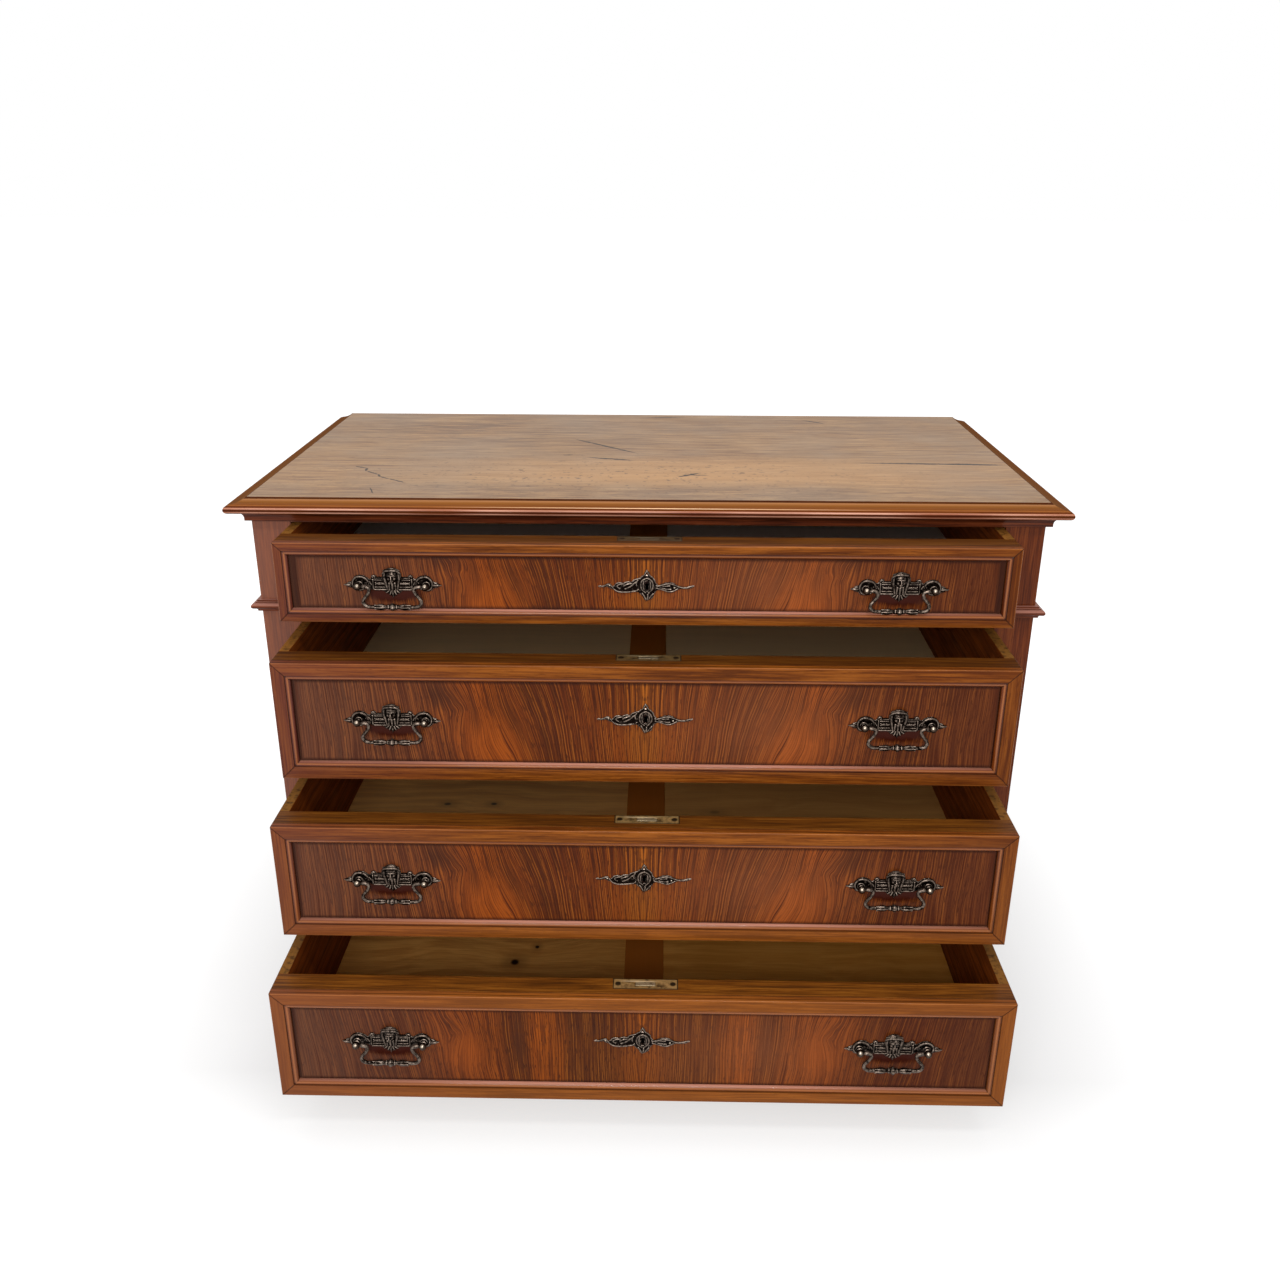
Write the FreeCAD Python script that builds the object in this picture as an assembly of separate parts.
import FreeCAD, Part
import math
import os
from FreeCAD import Vector

# A walnut bachelors chest of four long drawers, in millimetres.
# X is to the right, Y to the back and Z up. The origin is the middle of the plinth, on the floor.
# The drawers are drawn partly open, in a cascade, each by its own pull.

# ---------------------------------------------------------------- driving sizes: the case
case_width = 1046.0
case_depth = 566.0
top_thickness = 18.0
top_board_lip = 2.0
top_nose_reach = 27.0
nose_radius = 5.5
edge_fillet = 1.0
edge_quirk = 1.2
edge_cove_sag = 1.3
top_rail_thickness = 16.7
bed_height = 13.5
bed_reach = 13.0
bed_foot_reach = 7.0
bed_foot_height = 2.8
bed_fillet = 1.2
bed_cove_sag = 1.75
stile_width = 51.5
stile_thickness = 24.0
side_thickness = 18.0
back_thickness = 8.0
back_rebate = 9.0
rail_thickness = 31.0
rail_depth = 60.0
bottom_thickness = 18.0
belt_height = 16.0
belt_reach = 11.5
belt_foot_reach = 4.5
belt_cove_rise = 4.4
belt_nose_height = 7.6
belt_nose_sag = 3.2
belt_cove_sag = 1.35
belt_fillet = 2.0
belt_fillet_height = 1.4
plinth_height = 62.8
plinth_reach = 14.0
plinth_seat = 12.0
plinth_moulding_height = 15.0
plinth_moulding_foot = 2.0
plinth_fillet = 1.5
plinth_cove_sag = 2.0
bearer_width = 28.0

# ---------------------------------------------------------------- driving sizes: running gear
runner_width = 50.0
runner_thickness = 18.0
guide_height = 40.0
stop_height = 5.6
stop_width = 50.0
stop_length = 18.0
stop_place = 300.0
seat_gap = 0.3
head_gap = 1.7
side_gap = 1.2
stop_gap = 0.3

# ---------------------------------------------------------------- driving sizes: the drawers
drawer_heights = [106.0, 162.5, 162.5, 162.5]
drawer_pulls = [88.0, 148.0, 216.0, 293.5]
frame_widths = [10.7, 17.0, 17.0, 17.0]
pull_drops = [56.5, 80.0, 79.0, 76.0]
keyhole_drops = [53.5, 72.5, 70.5, 67.5]
front_thickness = 41.0
frame_thickness = 11.0
bead_width = 7.2
bead_quirk = 0.9
bead_drop = 1.6
bead_sag = 1.9
frame_chamfer = 0.8
field_recess = 6.0
drawer_back_room = 18.0
drawer_side_thickness = 13.0
drawer_back_thickness = 13.0
drawer_back_drop = 8.0
drawer_bottom_thickness = 8.0
drawer_bottom_rise = 9.0
groove_depth = 6.0
muntin_width = 58.0
muntin_thickness = 13.0
lap_thickness = 9.0
tail_pitch = 40.0
tail_root = 16.0
tail_slope = 1 / 6.0
front_tail_start = 4.0
muntin_rise = 2.0

# ---------------------------------------------------------------- driving sizes: the brassfounder's work
pull_place = 322.0
post_spacing = 86.0
post_proud = 9.5
post_ball_radius = 5.5
post_neck_radius = 3.2
post_foot_radius = 3.8
post_ball_flat = 2.3
plate_thickness = 2.4
plate_half_length = 61.0
band_high = 8.5
band_low = 6.5
scroll_reach = 9.5
scroll_sag = 4.5
tip_half_height = 3.6
pendant_half_width = 8.0
pendant_sag = 8.5
head_radius = 9.6
head_height = 22.0
head_sink = 2.6
head_place = 12.5
head_bands = 5
bail_drop = 27.0
bail_radius = 2.1
bail_neck_place = 28.8
bail_grip_half = 40.5
bail_neck_bend = 3.2
bail_grip_bend = 5.5
bail_shoulder_gap = 0.9
knop_half_length = 22.0
knop_swell_place = 12.0
knop_swell_radius = 3.6
knop_waist_place = 4.2
knop_waist_radius = 2.6
knop_radius = 4.4
bail_pin_radius = 1.5
pin_clearance = 0.06
pin_end_gap = 0.4
bore_end_inset = 1.4
keyhole_place = 2.0
keyhole_eye_radius = 2.6
keyhole_eye_rise = 2.0
keyhole_drop = 6.5
keyhole_half_top = 1.3
keyhole_half_foot = 1.9
escutcheon_thickness = 1.8
shield_radius = 10.5
shield_thickness = 1.4
crest_height = 20.0
crest_half_width = 4.5
crest_foot = 11.0
crest_shoulder_place = 9.0
crest_shoulder_height = 8.0
swell_place = 12.0
swell_height = 9.0
swell_sag = 1.8
left_arm_reach = 62.5
right_arm_reach = 60.0
arm_tip_rise = 1.0
left_root_place = 25.0
left_root_height = 3.0
left_foot_place = 8.0
left_foot_drop = 10.0
left_belly_place = 41.0
left_belly_drop = 6.5
left_belly_sag = 2.6
waist_place = 42.0
waist_drop = 0.5
left_leaf_place = 50.0
right_root_place = 14.0
right_root_height = 1.0
right_leaf_place = 38.0
leaf_half_height = 3.5
right_leaf_sag = 4.5
right_tip_sag = 2.6
right_foot_place = 16.0
right_foot_drop = 4.0
right_foot_sag = 5.0
pendant_right = 9.0
pendant_left = 3.0
pendant_drop = 18.0
pendant_bulge = 3.6
lock_place = 5.0
selvedge_length = 83.0
selvedge_width = 20.0
selvedge_thickness = 2.5
lock_width = 70.0
lock_depth = 13.0
lock_wall = 2.0
lock_below_key = 22.0
bolt_width = 25.0
bolt_depth = 7.0
bolt_length = 30.0
bolt_travel = 9.0
bolt_gap = 0.3
mortise_side_gap = 2.0
mortise_depth_gap = 1.5
mortise_end_gap = 1.0

# Small round work repeats many times, so it is drawn with this many flats.
bend_flats = 4
pendant_flats = 6
pin_flats = 8
shield_flats = 16

# ---------------------------------------------------------------- sizes that follow
half_case = case_width / 2
front_y = -case_depth / 2
back_y = case_depth / 2
half_opening = half_case - stile_width
inner_wall = half_case - side_thickness
stile_back = front_y + stile_thickness
rail_back = front_y + rail_depth
panel_front = back_y - back_thickness
half_drawer = half_opening - side_gap
drawer_length = case_depth - back_thickness - drawer_back_room
floor_top = plinth_height + bottom_thickness

# Openings are stacked from the case bottom up, each with its drawer's own running gaps.
opening_floors = [0.0] * len(drawer_heights)
level = floor_top
for place in reversed(range(len(drawer_heights))):
    opening_floors[place] = level
    level += seat_gap + drawer_heights[place] + head_gap + rail_thickness
top_opening_head = opening_floors[0] + seat_gap + drawer_heights[0] + head_gap
under_top = top_opening_head + top_rail_thickness
total_height = under_top + top_thickness


def box(x0, x1, y0, y1, z0, z1):
    """A block between two corners."""
    return Part.makeBox(x1 - x0, y1 - y0, z1 - z0, Vector(x0, y0, z0))


def mirrored(shape):
    """The same piece on the other side of the chest."""
    return shape.mirror(Vector(0, 0, 0), Vector(1, 0, 0))


def save(name, solids):
    """Write one sub-part, made of one or more solids, as a STEP file."""
    shape = solids[0] if len(solids) == 1 else Part.makeCompound(solids)
    shape.exportStep(os.path.join("parts", name + ".step"))


def profile_face(path, place):
    """A closed face from a path of points; a pair of points is an arc through the first to the second."""
    edges = []
    here = path[0]
    closed = isinstance(path[-1][0], tuple) and path[-1][1] == path[0]
    for step in path[1:] if closed else path[1:] + [path[0]]:
        if isinstance(step[0], tuple):
            middle, end = step
            edges.append(Part.Arc(place(here), place(middle), place(end)).toShape())
        else:
            end = step
            edges.append(Part.LineSegment(place(here), place(end)).toShape())
        here = end
    return Part.Face(Part.Wire(edges))


def bow(start, end, sag):
    """An arc step for a path, from start to end, off its chord by sag to the left of the way."""
    length = math.dist(start, end)
    left = (-(end[1] - start[1]) / length, (end[0] - start[0]) / length)
    middle = ((start[0] + end[0]) / 2 + sag * left[0], (start[1] + end[1]) / 2 + sag * left[1])
    return middle, end


def flats(start, end, sag, count):
    """The points of the same bend drawn with a few straight flats, without its start."""
    count = int(count)
    half = math.dist(start, end) / 2
    sweep = 4 * math.atan2(sag, half)
    hub_drop = half / math.tan(sweep / 2)
    left = (-(end[1] - start[1]) / (2 * half), (end[0] - start[0]) / (2 * half))
    hub = ((start[0] + end[0]) / 2 - hub_drop * left[0], (start[1] + end[1]) / 2 - hub_drop * left[1])
    arm = (start[0] - hub[0], start[1] - hub[1])
    points = []
    for index in range(1, count):
        cosine = math.cos(sweep * index / count)
        sine = math.sin(sweep * index / count)
        points.append((hub[0] + arm[0] * cosine + arm[1] * sine, hub[1] + arm[1] * cosine - arm[0] * sine))
    return points + [end]


def prism(corners, place, depth):
    """A straight-sided block over a polygon."""
    return profile_face(corners, place).extrude(depth)


def mitred_run(path, base, half_width, y_front, y_back):
    """A moulding round the front and both sides, mitred at the front corners.

    The path gives (outward, upward) points from the case's face at the height base.
    """
    points = []
    for step in path:
        points += step if isinstance(step[0], tuple) else [step]
    reach = max(point[0] for point in points) + 1
    inset = max(0.0, -min(point[0] for point in points)) + 1
    far = half_width + reach
    near = half_width - inset
    plan = lambda point: Vector(point[0], point[1], base - 1)
    tall = Vector(0, 0, max(point[1] for point in points) + 2)
    section = lambda point: Vector(-far, y_front - point[0], base + point[1])
    front = profile_face(path, section).extrude(Vector(2 * far, 0, 0))
    front_plan = [(-near, y_front + inset), (near, y_front + inset),
                  (far, y_front - reach), (-far, y_front - reach)]
    front = front.common(prism(front_plan, plan, tall))
    side_section = lambda point: Vector(half_width + point[0], y_front - reach, base + point[1])
    side = profile_face(path, side_section).extrude(Vector(0, y_back - y_front + reach, 0))
    side_plan = [(near, y_front + inset), (far, y_front - reach), (far, y_back), (near, y_back)]
    right = side.common(prism(side_plan, plan, tall))
    return [front, mirrored(right), right]


def save_case():
    """The carcass: sides, stiles, rails, bottom, back, top board, mouldings and plinth."""
    # Top board, with the moulded edge planted on its front and both ends.
    board_half = half_case + top_board_lip
    board_front = front_y - top_board_lip
    save("top_board", [box(-board_half, board_half, board_front, back_y, under_top, total_height)])
    nose_centre = top_nose_reach - nose_radius
    nose_top = (nose_centre, 2 * nose_radius)
    cove_foot = (nose_centre - edge_fillet, 2 * nose_radius + edge_fillet / 2)
    cove_head = (top_board_lip + edge_quirk, top_thickness - edge_quirk / 2)
    edge_path = [
        (top_board_lip, 0.0),
        (nose_centre, 0.0),
        bow((nose_centre, 0.0), nose_top, -nose_radius),
        cove_foot,
        bow(cove_foot, cove_head, edge_cove_sag),
        (cove_head[0], top_thickness),
        (top_board_lip, top_thickness),
    ]
    save("top_edge_moulding", mitred_run(edge_path, under_top, half_case, front_y, back_y))
    bed_foot = (bed_foot_reach, bed_foot_height)
    bed_path = [
        (0.0, 0.0),
        (bed_foot_reach, 0.0),
        bed_foot,
        bow(bed_foot, (bed_reach, bed_height - bed_fillet), bed_cove_sag),
        (bed_reach, bed_height),
        (0.0, bed_height),
    ]
    save("bed_moulding", mitred_run(bed_path, under_top - bed_height, half_case, front_y, back_y))

    # Front stiles and side panels stand on the plinth and carry the top.
    right_stile = box(half_opening, half_case, front_y, stile_back, plinth_height, under_top)
    save("right_stile", [right_stile])
    save("left_stile", [mirrored(right_stile)])
    right_side = box(inner_wall, half_case, stile_back, back_y, plinth_height, under_top)
    rebate_edge = inner_wall + back_rebate
    rebate = box(inner_wall, rebate_edge, panel_front, back_y, plinth_height, under_top)
    right_side = right_side.cut(rebate)
    save("right_side_panel", [right_side])
    save("left_side_panel", [mirrored(right_side)])
    save("back_panel", [box(-rebate_edge, rebate_edge, panel_front, back_y, plinth_height, under_top)])

    # Rails between the drawers, flush with the stiles and housed behind them.
    def front_rail(z_low, z_high):
        face = box(-half_opening, half_opening, front_y, stile_back, z_low, z_high)
        housing = box(-inner_wall, inner_wall, stile_back, rail_back, z_low, z_high)
        rail = face.fuse(housing).removeSplitter()
        return rail.cut(bolt_mortise(z_low))

    save("top_rail", [front_rail(top_opening_head, under_top)])
    dividers = [front_rail(floor - rail_thickness, floor) for floor in opening_floors[:-1]]
    save("drawer_dividers", dividers)
    bottom_face = box(-half_opening, half_opening, front_y, stile_back, plinth_height, floor_top)
    bottom_board = box(-inner_wall, inner_wall, stile_back, panel_front, plinth_height, floor_top)
    save("case_bottom", [bottom_face.fuse(bottom_board).removeSplitter()])

    # Belt moulding, level with the first rail.
    belt_foot = (belt_foot_reach, 0.0)
    nose_foot = (belt_reach - belt_nose_sag, belt_cove_rise)
    nose_head = (belt_reach - belt_nose_sag, belt_cove_rise + belt_nose_height)
    fillet_head = nose_head[1] + belt_fillet_height
    belt_path = [
        (0.0, 0.0),
        belt_foot,
        bow(belt_foot, nose_foot, belt_cove_sag),
        bow(nose_foot, nose_head, -belt_nose_sag),
        (belt_foot_reach + belt_fillet, nose_head[1]),
        (belt_foot_reach + belt_fillet, fillet_head),
        (belt_foot_reach, fillet_head),
        (belt_foot_reach, belt_height),
        (0.0, belt_height),
    ]
    belt_base = opening_floors[0] - seat_gap - belt_height
    save("belt_moulding", mitred_run(belt_path, belt_base, half_case, front_y, back_y))

    # Plinth: front and sides mitred with a moulded upper edge, a plain back rail and a middle bearer.
    foot = plinth_moulding_foot
    moulding_base = plinth_height - plinth_moulding_height
    plinth_cove_foot = (plinth_reach - foot, moulding_base + foot)
    plinth_cove_head = (foot, plinth_height - plinth_fillet)
    plinth_path = [
        (-plinth_seat, 0.0),
        (plinth_reach, 0.0),
        (plinth_reach, moulding_base),
        plinth_cove_foot,
        bow(plinth_cove_foot, plinth_cove_head, plinth_cove_sag),
        (0.0, plinth_cove_head[1]),
        (0.0, plinth_height),
        (-plinth_seat, plinth_height),
    ]
    plinth = mitred_run(plinth_path, 0.0, half_case, front_y, back_y)
    inner_plinth = half_case - plinth_seat
    plinth_rail = plinth_seat + plinth_reach
    back_rail = box(-inner_plinth, inner_plinth, back_y - plinth_rail, back_y, 0, plinth_height)
    half_bearer = bearer_width / 2
    bearer = box(-half_bearer, half_bearer, front_y + plinth_seat, back_y - plinth_rail, 0, plinth_height)
    save("plinth", plinth + [back_rail, bearer])


def bolt_mortise(rail_bottom):
    """The pocket in the underside of a rail that the lock bolt below it shoots into."""
    bolt_middle = front_y + front_thickness - selvedge_width / 2
    half_length = bolt_width / 2 + mortise_side_gap
    half_depth = bolt_depth / 2 + mortise_depth_gap
    return box(lock_place - half_length, lock_place + half_length, bolt_middle - half_depth,
               bolt_middle + half_depth, rail_bottom, rail_bottom + bolt_travel + mortise_end_gap)


def save_running_gear():
    """Runners that carry the drawers, guides beside them, kickers over the top one, and stops."""
    runners = []
    guides = []
    stops = []
    run_in = inner_wall - runner_width
    for floor in opening_floors:
        if floor > floor_top:
            right = box(run_in, inner_wall, rail_back, panel_front, floor - runner_thickness, floor)
            runners += [mirrored(right), right]
        guide = box(half_opening, inner_wall, stile_back, panel_front, floor, floor + guide_height)
        guides += [mirrored(guide), guide]
        half_stop = stop_width / 2
        stop_front = front_y + front_thickness + stop_gap
        stop = box(stop_place - half_stop, stop_place + half_stop, stop_front,
                   stop_front + stop_length, floor, floor + stop_height)
        stops += [mirrored(stop), stop]
    kicker = box(run_in, inner_wall, rail_back, panel_front, top_opening_head, under_top)
    save("runners_and_kickers", runners + [mirrored(kicker), kicker])
    save("drawer_guides", guides)
    save("drawer_stops", stops)


def dovetail_gaps(y_root, y_end, z_low, z_high, tail_low):
    """The waste sawn out between the tails at one end of the right drawer side.

    Tails stand on a line at y_root and widen towards y_end.
    """
    length = abs(y_end - y_root)
    spread = length * tail_slope
    count = max(2, int(round((z_high - tail_low) / tail_pitch)))
    pitch = (z_high - tail_low) / count
    waste = box(half_drawer - drawer_side_thickness, half_drawer, min(y_root, y_end), max(y_root, y_end),
                z_low, z_high)
    for index in range(count):
        middle = tail_low + pitch * (index + 0.5)
        half_root = min(tail_root, pitch * 0.62) / 2
        corners = [(y_root, middle - half_root), (y_end, middle - half_root - spread),
                   (y_end, middle + half_root + spread), (y_root, middle + half_root)]
        place = lambda point: Vector(half_drawer - drawer_side_thickness, point[0], point[1])
        waste = waste.cut(prism(corners, place, Vector(drawer_side_thickness, 0, 0)))
    return waste


def face_frame(half_width, z_low, z_high, y_face, flat):
    """The mitred frame planted round a drawer front: a flat, a quirk and a rounded bead inside."""
    reach = flat + bead_width
    middle_z = (z_low + z_high) / 2
    half_height = (z_high - z_low) / 2
    bead_start = (flat + bead_quirk, bead_drop)
    path = [
        (0.0, frame_chamfer),
        (frame_chamfer, 0.0),
        (flat, 0.0),
        (flat, bead_drop),
        bead_start,
        bow(bead_start, (reach, field_recess), -bead_sag),
        (reach, frame_thickness),
        (0.0, frame_thickness),
    ]
    pieces = []
    for half_run, half_reach, turn in ((half_width, half_height, 0), (half_height, half_width, 90)):
        section = lambda point: Vector(-half_run, y_face + point[1], -half_reach + point[0])
        run = profile_face(path, section).extrude(Vector(2 * half_run, 0, 0))
        inset = reach + 1
        corners = [(-half_run, -half_reach), (half_run, -half_reach),
                   (half_run - inset, -half_reach + inset), (-half_run + inset, -half_reach + inset)]
        place = lambda point: Vector(point[0], y_face - 1, point[1])
        run = run.common(prism(corners, place, Vector(0, frame_thickness + 2, 0)))
        run.rotate(Vector(0, 0, 0), Vector(0, 1, 0), turn)
        for flip in (0, 180):
            piece = run.copy()
            piece.rotate(Vector(0, 0, 0), Vector(0, 1, 0), flip)
            piece.translate(Vector(0, 0, middle_z))
            pieces.append(piece)
    return pieces


def keyhole_slot(x, z, y_low, y_high):
    """The plain slot behind a keyhole, through the wood and into the lock."""
    return box(x - keyhole_half_foot, x + keyhole_half_foot, y_low, y_high,
               z - keyhole_drop, z + keyhole_eye_rise)


def lock_parts(y_board_back, z_top, z_key):
    """A till lock let into the back of the drawer front, and its bolt."""
    half_plate = selvedge_length / 2
    plate = box(lock_place - half_plate, lock_place + half_plate, y_board_back - selvedge_width,
                y_board_back, z_top - selvedge_thickness, z_top)
    z_case = z_key - lock_below_key
    half_lock = lock_width / 2
    case = box(lock_place - half_lock, lock_place + half_lock, y_board_back - lock_depth,
               y_board_back, z_case, z_top - selvedge_thickness)
    body = plate.fuse(case).removeSplitter()
    bolt_middle = y_board_back - selvedge_width / 2
    half_bolt = bolt_width / 2
    y_low = bolt_middle - bolt_depth / 2
    y_high = bolt_middle + bolt_depth / 2
    bolt = box(lock_place - half_bolt, lock_place + half_bolt, y_low, y_high, z_top - bolt_length, z_top)
    room = box(lock_place - half_bolt - bolt_gap, lock_place + half_bolt + bolt_gap, y_low - bolt_gap,
               y_high + bolt_gap, z_top - bolt_length - bolt_gap, z_top + 1)
    lock_front = y_board_back - lock_depth
    body = body.cut(room).cut(keyhole_slot(keyhole_place, z_key, lock_front, y_board_back - lock_wall))
    return body, bolt


def ring(centre, across, up, count=8):
    """Points round a centre, from two half-width vectors, with flats facing along both."""
    count = int(count)
    points = []
    for index in range(count):
        angle = 2 * math.pi * (index + 0.5) / count
        points.append(centre + across * math.cos(angle) + up * math.sin(angle))
    return points


def banded(rings):
    """A solid with flat bands between rings of points, closed by its first and last ring."""
    faces = [Part.Face(Part.makePolygon(end + end[:1])) for end in (rings[0], rings[-1])]
    for low, high in zip(rings, rings[1:]):
        for index in range(len(low)):
            after = (index + 1) % len(low)
            corners = [low[index], low[after], high[after], high[index], low[index]]
            faces.append(Part.Face(Part.makePolygon(corners)))
    shell = Part.makeShell(faces)
    shell.sewShape()
    solid = Part.makeSolid(shell)
    if solid.Volume < 0:
        solid.reverse()
    return solid


def escutcheon(x, z, y_back):
    """A pierced plate with a pointed crest, a rounded shield and two leafy arms."""
    left_root = (-left_root_place, left_root_height)
    right_root = (right_root_place, right_root_height)
    right_leaf = (right_leaf_place, leaf_half_height)
    right_tip = (right_arm_reach, arm_tip_rise)
    leaf_foot = (right_leaf_place, -leaf_half_height)
    right_foot = (right_foot_place, -right_foot_drop)
    drop_start = (pendant_right, -pendant_drop)
    drop_end = (-pendant_left, -pendant_drop)
    left_foot = (-left_foot_place, -left_foot_drop)
    left_belly = (-left_belly_place, -left_belly_drop)
    outline = [(-left_arm_reach, arm_tip_rise), (-left_leaf_place, leaf_half_height)]
    outline += [(-waist_place, -waist_drop), left_root]
    outline += flats(left_root, (-swell_place, swell_height), swell_sag, bend_flats)
    outline += [(-crest_half_width, crest_foot), (0.0, crest_height), (crest_half_width, crest_foot)]
    outline += [(crest_shoulder_place, crest_shoulder_height), right_root]
    outline += flats(right_root, right_leaf, right_leaf_sag, bend_flats)
    outline += [right_tip]
    outline += flats(right_tip, leaf_foot, right_tip_sag, bend_flats)
    outline += flats(leaf_foot, right_foot, right_foot_sag, bend_flats)
    outline += [drop_start]
    outline += flats(drop_start, drop_end, pendant_bulge, bend_flats)
    outline += [left_foot]
    outline += flats(left_foot, left_belly, left_belly_sag, bend_flats)
    outline += [(-left_leaf_place, -waist_drop)]
    place = lambda point: Vector(x + point[0], y_back, z + point[1])
    plate = profile_face(outline, place).extrude(Vector(0, -escutcheon_thickness, 0))
    shield_back = Vector(x, y_back - escutcheon_thickness, z)
    across = Vector(shield_radius, 0, 0)
    up = Vector(0, 0, shield_radius)
    shield = banded([ring(shield_back, across, up, shield_flats),
                     ring(shield_back - Vector(0, shield_thickness, 0), across, up, shield_flats)])
    plate = plate.fuse(shield).removeSplitter()
    # Keyhole: a round eye over a slot that widens to its foot.
    depth = Vector(0, -escutcheon_thickness - shield_thickness - 1, 0)
    across = Vector(keyhole_eye_radius, 0, 0)
    up = Vector(0, 0, keyhole_eye_radius)
    eye = banded([ring(place((0, keyhole_eye_rise)), across, up),
                  ring(place((0, keyhole_eye_rise)) + depth, across, up)])
    corners = [(-keyhole_half_top, keyhole_eye_rise), (-keyhole_half_foot, -keyhole_drop),
               (keyhole_half_foot, -keyhole_drop), (keyhole_half_top, keyhole_eye_rise)]
    return plate.cut(eye).cut(prism(corners, place, depth))


def bar(start, end, radius, count):
    """A straight bar along X with flats round it."""
    across = Vector(0, radius, 0)
    up = Vector(0, 0, radius)
    return banded([ring(start, across, up, count), ring(end, across, up, count)])


def ball_post(x, z, y_back, side):
    """A turned post with a ball on it, bored on the side that faces the middle of its pull."""
    turned = [(post_foot_radius, 0.0),
              (post_neck_radius, post_proud - post_ball_radius),
              (post_ball_radius, post_proud - post_ball_flat),
              (post_ball_radius, post_proud + post_ball_flat),
              (post_neck_radius, post_proud + post_ball_radius)]
    post = banded([ring(Vector(x, y_back - proud, z), Vector(radius, 0, 0), Vector(0, 0, radius))
                   for radius, proud in turned])
    # The bore's flats clear the circle that the pin's corners turn in.
    bore_end = Vector(x - side * bore_end_inset, y_back - post_proud, z)
    bore_mouth = bore_end - Vector(side * 2 * post_ball_radius, 0, 0)
    bore_radius = (bail_pin_radius + pin_clearance) / math.cos(math.pi / pin_flats)
    return post.cut(bar(bore_end, bore_mouth, bore_radius, pin_flats))


def pull_plate(x, z, y_back):
    """A backplate with a head rising at its middle, a scroll round each ball post and pointed ends."""
    half_post = post_spacing / 2
    scroll_end = half_post + scroll_reach
    scroll_start = half_post - scroll_reach
    pendant = (pendant_half_width, -band_low)
    right = [(scroll_start, band_high)]
    right += flats((scroll_start, band_high), (scroll_end, tip_half_height), scroll_sag, bend_flats)
    right += [(plate_half_length, 0.0), (scroll_end, -tip_half_height)]
    right += flats((scroll_end, -tip_half_height), (scroll_start, -band_low), scroll_sag, bend_flats)
    right += [pendant]
    left = [(-point[0], point[1]) for point in reversed(right)]
    path = right + flats(pendant, left[0], pendant_sag, pendant_flats) + left[1:]
    place = lambda point: Vector(x + point[0], y_back, z + point[1])
    plate = profile_face(path, place).extrude(Vector(0, -plate_thickness, 0))
    # The head: an egg-shaped mask standing out of the plate, its axis a little behind the plate's back.
    rings = []
    for step in range(1, head_bands + 2):
        angle = math.pi * step / (head_bands + 2)
        radius = head_radius * math.sin(angle)
        centre = Vector(x, y_back + head_sink, z + head_place + head_height / 2 * math.cos(angle))
        rings.append(ring(centre, Vector(radius, 0, 0), Vector(0, radius, 0)))
    reach = 2 * head_radius
    front_half = box(x - reach, x + reach, y_back - reach, y_back, z - reach, z + 2 * reach)
    plate = plate.fuse(banded(rings).common(front_half))
    for side in (-1, 1):
        plate = plate.fuse(ball_post(x + side * half_post, z, y_back, side))
    return plate.removeSplitter()


def rounded_points(corners, bends):
    """Points along straight runs and the round bends between them, three to a bend."""
    points = [corners[0]]
    for before, corner, after, bend in zip(corners, corners[1:], corners[2:], bends):
        back = (before - corner).normalize()
        ahead = (after - corner).normalize()
        half_angle = back.getAngle(ahead) / 2
        cut_back = bend / math.tan(half_angle)
        to_middle = bend / math.sin(half_angle) - bend
        bend_middle = corner + (back + ahead).normalize() * to_middle
        points += [corner + back * cut_back, bend_middle, corner + ahead * cut_back]
    return points + [corners[-1]]


def bail(x, z, y_back):
    """A swinging handle: two pins, arms that neck in and swell out, and a turned knop on the grip."""
    half_post = post_spacing / 2
    axis = Vector(x, y_back - post_proud, z)
    shoulder = half_post - post_ball_radius - bail_shoulder_gap
    corners = [Vector(shoulder, 0, 0), Vector(bail_neck_place, 0, 0), Vector(bail_grip_half, 0, -bail_drop),
               Vector(0, 0, -bail_drop)]
    arm = [(point, bail_radius) for point in rounded_points(corners, [bail_neck_bend, bail_grip_bend])[:-1]]
    knop = [(knop_half_length, bail_radius), (knop_swell_place, knop_swell_radius),
            (knop_waist_place, knop_waist_radius)]
    arm += [(Vector(place, 0, -bail_drop), radius) for place, radius in knop]
    other_arm = [(Vector(-point.x, 0, point.z), radius) for point, radius in reversed(arm)]
    path = arm + [(corners[-1], knop_radius)] + other_arm
    runs = [(after[0] - before[0]).normalize() for before, after in zip(path, path[1:])]
    runs = [runs[0]] + runs + [runs[-1]]
    rings = []
    for (point, radius), run, ahead in zip(path, runs, runs[1:]):
        mitre = (run + ahead).normalize()
        across = Vector(mitre.z, 0, -mitre.x) * (radius / math.cos(run.getAngle(ahead) / 2))
        rings.append(ring(axis + point, across, Vector(0, radius, 0)))
    solid = banded(rings)
    pin_length = half_post - bore_end_inset - pin_end_gap - shoulder
    for side in (-1, 1):
        pin_foot = axis + Vector(side * shoulder, 0, 0)
        pin_end = pin_foot + Vector(side * pin_length, 0, 0)
        solid = solid.fuse(bar(pin_foot, pin_end, bail_pin_radius, pin_flats))
    return solid.removeSplitter()


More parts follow.
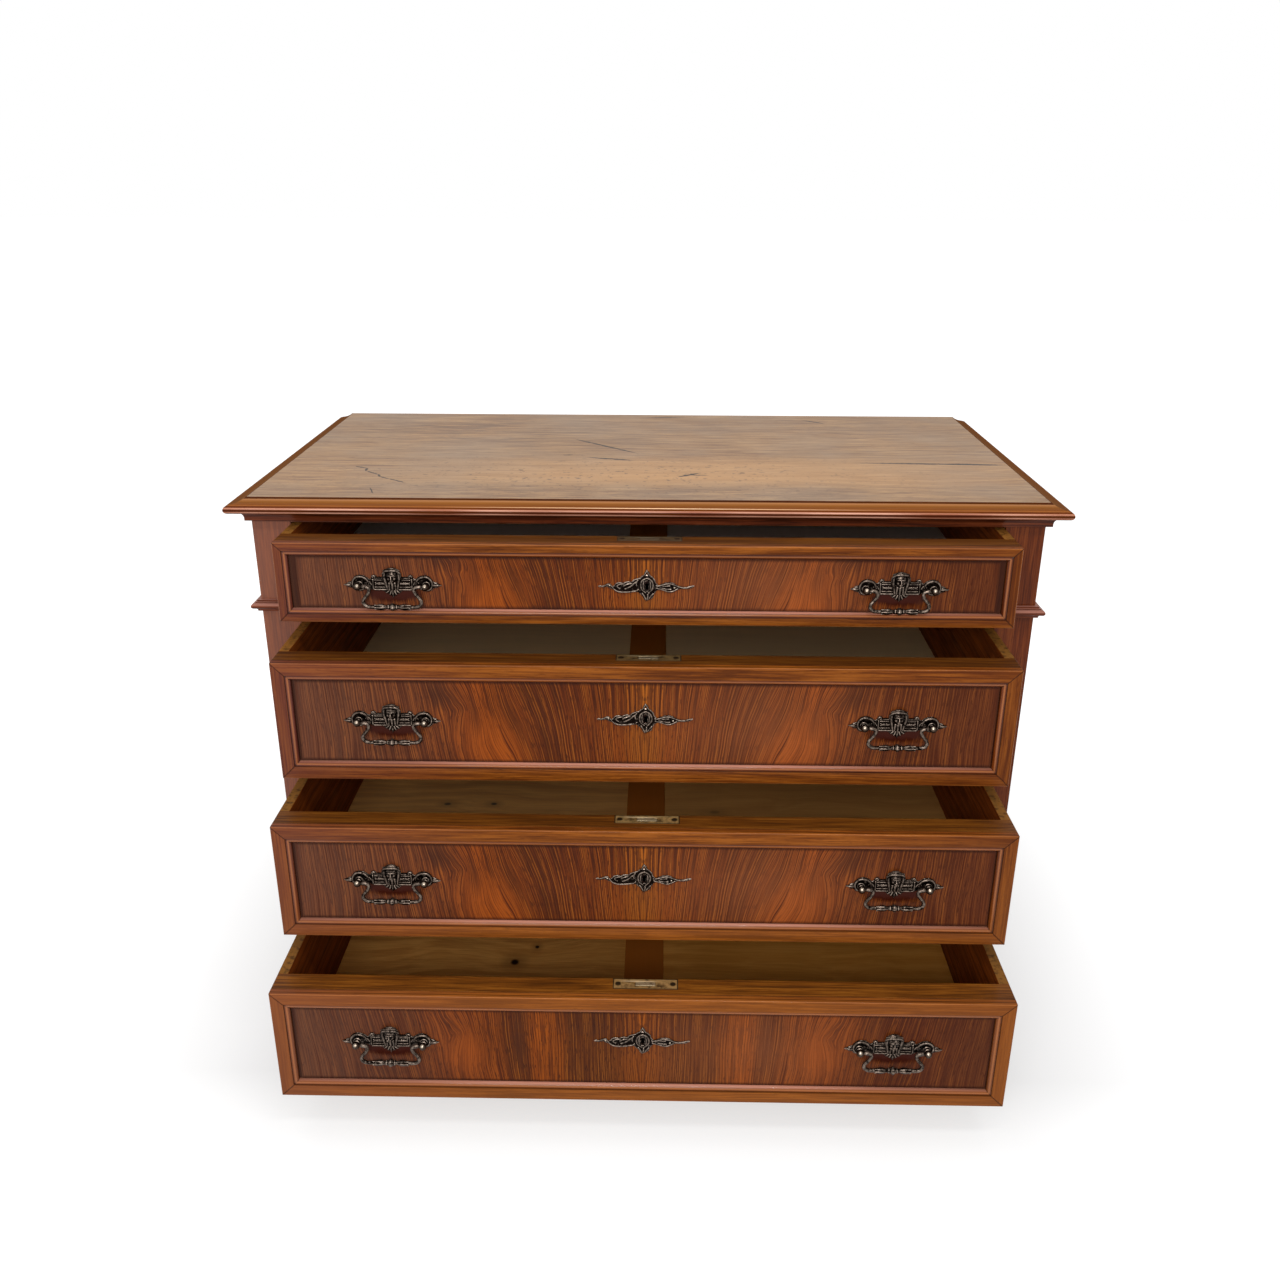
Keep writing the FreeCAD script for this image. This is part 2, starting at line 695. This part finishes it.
def save_drawer(number):
    """One drawer: its front and frame, sides, back, bottom, lock, escutcheon and pulls."""
    index = number - 1
    height = drawer_heights[index]
    flat = frame_widths[index]
    name = "drawer_%d_" % number
    z_low = opening_floors[index] + seat_gap
    z_high = z_low + height
    y_face = front_y - drawer_pulls[index]
    y_field = y_face + field_recess
    y_frame_back = y_face + frame_thickness
    y_board_back = y_face + front_thickness
    y_end = y_face + drawer_length
    tail_start = y_frame_back + lap_thickness
    inner_half = half_drawer - drawer_side_thickness
    bottom_low = z_low + drawer_bottom_rise
    bottom_high = bottom_low + drawer_bottom_thickness

    # Sides, with tails cut on both ends.
    side = box(inner_half, half_drawer, tail_start, y_end, z_low, z_high)
    side = side.cut(dovetail_gaps(y_board_back, tail_start, z_low, z_high, z_low + front_tail_start))
    back_low = bottom_high
    back_high = z_high - drawer_back_drop
    back_root = y_end - drawer_back_thickness
    rear_gaps = dovetail_gaps(back_root, y_end, back_low, back_high, back_low)
    side = side.cut(rear_gaps)

    # Bottom: two panels either side of a muntin, held in grooves and running under the back.
    half_muntin = muntin_width / 2
    muntin_high = bottom_high + muntin_rise
    muntin = box(-half_muntin, half_muntin, y_board_back - groove_depth, y_end,
                 muntin_high - muntin_thickness, muntin_high)
    muntin = muntin.cut(box(-half_muntin, half_muntin, back_root, y_end, bottom_high, muntin_high + 1))
    panel = box(half_muntin - groove_depth, inner_half + groove_depth, y_board_back - groove_depth, y_end,
                bottom_low, bottom_high)
    muntin = muntin.cut(panel).cut(mirrored(panel))
    side = side.cut(panel)
    sides = [mirrored(side), side]

    # Back, standing on the bottom.
    back = box(-half_drawer, half_drawer, back_root, y_end, back_low, back_high)
    back = back.cut(side).cut(mirrored(side))

    # Front: a thick board with a raised veneered field, and the mitred frame planted round it.
    field = flat + bead_width
    board = box(-half_drawer, half_drawer, y_frame_back, y_board_back, z_low, z_high)
    raised = box(-half_drawer + field, half_drawer - field, y_field, y_frame_back,
                 z_low + field, z_high - field)
    board = board.fuse(raised).removeSplitter()
    z_key = z_high - keyhole_drops[index]
    lock, bolt = lock_parts(y_board_back, z_high, z_key)
    half_lock = lock_width / 2
    half_plate = selvedge_length / 2
    lock_room = box(lock_place - half_lock, lock_place + half_lock, y_board_back - lock_depth,
                    y_board_back, z_key - lock_below_key, z_high)
    plate_room = box(lock_place - half_plate, lock_place + half_plate, y_board_back - selvedge_width,
                     y_board_back, z_high - selvedge_thickness, z_high)
    bolt_room = box(lock_place - bolt_width / 2 - bolt_gap, lock_place + bolt_width / 2 + bolt_gap,
                    y_board_back - selvedge_width / 2 - bolt_depth / 2 - bolt_gap, y_board_back,
                    z_high - bolt_length - bolt_gap, z_high)
    board = board.cut(side).cut(mirrored(side)).cut(panel).cut(mirrored(panel)).cut(muntin)
    board = board.cut(lock_room).cut(plate_room).cut(bolt_room)
    board = board.cut(keyhole_slot(keyhole_place, z_key, y_field - 1, y_board_back - lock_depth + 1))

    save(name + "front", [board])
    save(name + "face_frame", face_frame(half_drawer, z_low, z_high, y_face, flat))
    save(name + "sides", sides)
    save(name + "back", [back])
    save(name + "bottom", [mirrored(panel), panel, muntin])
    save(name + "lock", [lock])
    save(name + "lock_bolt", [bolt])
    save(name + "escutcheon", [escutcheon(keyhole_place, z_key, y_field)])
    z_pull = z_high - pull_drops[index]
    plates = [pull_plate(sign * pull_place, z_pull, y_field) for sign in (-1, 1)]
    save(name + "pull_plates", plates)
    save(name + "left_bail", [bail(-pull_place, z_pull, y_field)])
    save(name + "right_bail", [bail(pull_place, z_pull, y_field)])


os.makedirs("parts", exist_ok=True)
save_case()
save_running_gear()
for number in range(1, len(drawer_heights) + 1):
    save_drawer(number)
